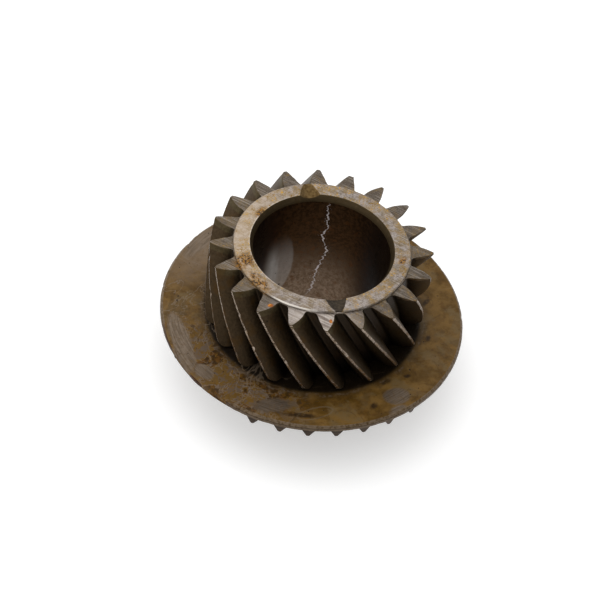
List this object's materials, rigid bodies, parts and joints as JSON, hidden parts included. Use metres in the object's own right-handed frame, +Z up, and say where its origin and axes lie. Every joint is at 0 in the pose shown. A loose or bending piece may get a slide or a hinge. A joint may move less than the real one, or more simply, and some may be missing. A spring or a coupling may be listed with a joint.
{
  "type": "helical gear",
  "caption": "Left-hand helical gear with an open bore and a notched thrust ring, on a wide stop disc with pointed dog-clutch teeth and a friction cone beneath.",
  "frame": {"origin": "on the bore's axis, at the lower thrust face, which is the lowest point", "axes": "+Z up along the bore, from the dog teeth towards the notched thrust ring; +X and +Y lie in the lower thrust face"},
  "size_m": [0.1264, 0.1264, 0.064],
  "materials": {
    "gear_steel": "oiled, ground on the faces, with rust specks",
    "varnished_steel": "turned steel under brown oil varnish",
    "dog_steel": "oiled and dark",
    "cone_steel": "finely ground",
    "spring_steel": "blackened"
  },
  "bodies": {
    "root": {"helical_gear": "gear_steel", "stop_disc": "varnished_steel", "dog_ring": "dog_steel", "friction_cone": "cone_steel", "snap_ring": "spring_steel"}
  },
  "joints": []
}
